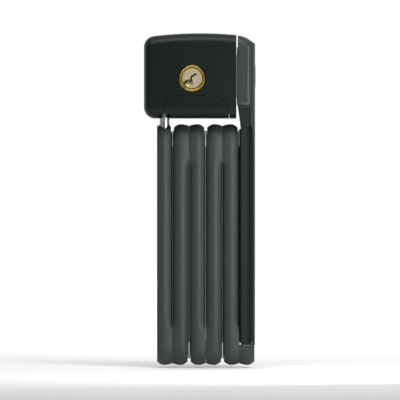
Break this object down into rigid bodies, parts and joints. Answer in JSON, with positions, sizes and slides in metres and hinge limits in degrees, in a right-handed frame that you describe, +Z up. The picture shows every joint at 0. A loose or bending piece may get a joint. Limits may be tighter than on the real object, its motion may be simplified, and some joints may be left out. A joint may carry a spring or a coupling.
{
  "type": "folding bicycle lock",
  "caption": "Folding bicycle lock: riveted jacketed steel bars folded side by side under a black lock body with a brass key cylinder, a swivelling long bar and a locking stub",
  "frame": {"origin": "under the middle of the folded stack, level with the bars' lower ends, where a frame carrier holds the lock", "axes": "+Z up along the folded bars to the lock body, +X across the stack to the long bar, -Y towards the keyhole"},
  "size_m": [0.0504, 0.0273, 0.1498],
  "materials": {
    "bar_jacket": "satin charcoal plastic jacket with a fine grain",
    "black_cover": "black satin moulded plastic",
    "brass": "turned brass",
    "fastener_steel": "blackened steel",
    "polished_steel": "polished hardened steel",
    "inner_steel": "plain steel",
    "spring_steel": "drawn spring wire",
    "washer_nylon": "natural nylon"
  },
  "bodies": {
    "lock_body": {"lock_block": "inner_steel", "lock_back_plate": "inner_steel", "lock_cover_front": "black_cover", "lock_cover_rear": "black_cover", "bottom_insert": "black_cover", "cylinder_housing": "brass", "driver_pin_1": "inner_steel", "driver_pin_2": "inner_steel", "driver_pin_3": "inner_steel", "driver_pin_4": "inner_steel", "driver_pin_5": "inner_steel", "pin_spring_1": "spring_steel", "pin_spring_2": "spring_steel", "pin_spring_3": "spring_steel", "pin_spring_4": "spring_steel", "pin_spring_5": "spring_steel", "cover_screw_1": "fastener_steel", "cover_screw_2": "fastener_steel", "cover_screw_3": "fastener_steel", "pivot_pin": "fastener_steel", "pivot_washer": "washer_nylon", "pivot_nut": "inner_steel", "latch_spring": "spring_steel"},
    "plug": {"cylinder_plug": "brass", "cylinder_cam": "inner_steel", "cam_screw": "inner_steel", "key_pin_1": "brass", "key_pin_2": "brass", "key_pin_3": "brass", "key_pin_4": "brass", "key_pin_5": "brass"},
    "latch": {"latch": "inner_steel"},
    "long_bar": {"long_bar_core": "inner_steel", "long_bar_cover": "black_cover", "long_bar_foot": "bar_jacket", "rivet_5": "fastener_steel", "rivet_spacer_5": "fastener_steel"},
    "bar_5": {"bar_5_core": "inner_steel", "bar_5_jacket": "bar_jacket", "rivet_4": "fastener_steel", "rivet_spacer_4": "fastener_steel"},
    "bar_4": {"bar_4_core": "inner_steel", "bar_4_jacket": "bar_jacket", "rivet_3": "fastener_steel", "rivet_spacer_3": "fastener_steel"},
    "bar_3": {"bar_3_core": "inner_steel", "bar_3_jacket": "bar_jacket", "rivet_2": "fastener_steel", "rivet_spacer_2": "fastener_steel"},
    "bar_2": {"bar_2_core": "inner_steel", "bar_2_jacket": "bar_jacket", "rivet_1": "fastener_steel", "rivet_spacer_1": "fastener_steel"},
    "bar_1": {"bar_1_core": "inner_steel", "bar_1_jacket": "bar_jacket", "locking_stub": "polished_steel"}
  },
  "joints": [
    {"name": "lock_swivel", "type": "hinge", "parent": "lock_body", "child": "long_bar", "pos_m": [0.017, 0, 0.13075], "axis": [1, 0, 0], "range_deg": [0, 90]},
    {"name": "fold_5", "type": "hinge", "parent": "long_bar", "child": "bar_5", "pos_m": [0.01792, 0, 0.0074], "axis": [-1, 0, 0], "range_deg": [0, 180]},
    {"name": "fold_4", "type": "hinge", "parent": "bar_5", "child": "bar_4", "pos_m": [0.01036, 0, 0.1019], "axis": [-1, 0, 0], "range_deg": [0, 95]},
    {"name": "fold_3", "type": "hinge", "parent": "bar_4", "child": "bar_3", "pos_m": [0.00281, 0, 0.0074], "axis": [-1, 0, 0], "range_deg": [0, 180]},
    {"name": "fold_2", "type": "hinge", "parent": "bar_3", "child": "bar_2", "pos_m": [-0.00473, 0, 0.1019], "axis": [-1, 0, 0], "range_deg": [0, 95]},
    {"name": "fold_1", "type": "hinge", "parent": "bar_2", "child": "bar_1", "pos_m": [-0.01229, 0, 0.0074], "axis": [-1, 0, 0], "range_deg": [0, 180]},
    {"name": "key_turn", "type": "hinge", "parent": "lock_body", "child": "plug", "pos_m": [-0.00338, 0, 0.1296], "axis": [0, 1, 0], "range_deg": [0, 90]},
    {"name": "latch_slide", "type": "slide", "parent": "lock_body", "child": "latch", "axis": [-1, 0, 0], "range_m": [0, 0.00438], "deforming": ["latch_spring"]}
  ],
  "couplings": [
    {"joint": "lock_swivel", "follows": "fold_5", "ratio": 0.5},
    {"joint": "key_turn", "follows": "latch_slide", "rad_per_m": 358.4}
  ]
}
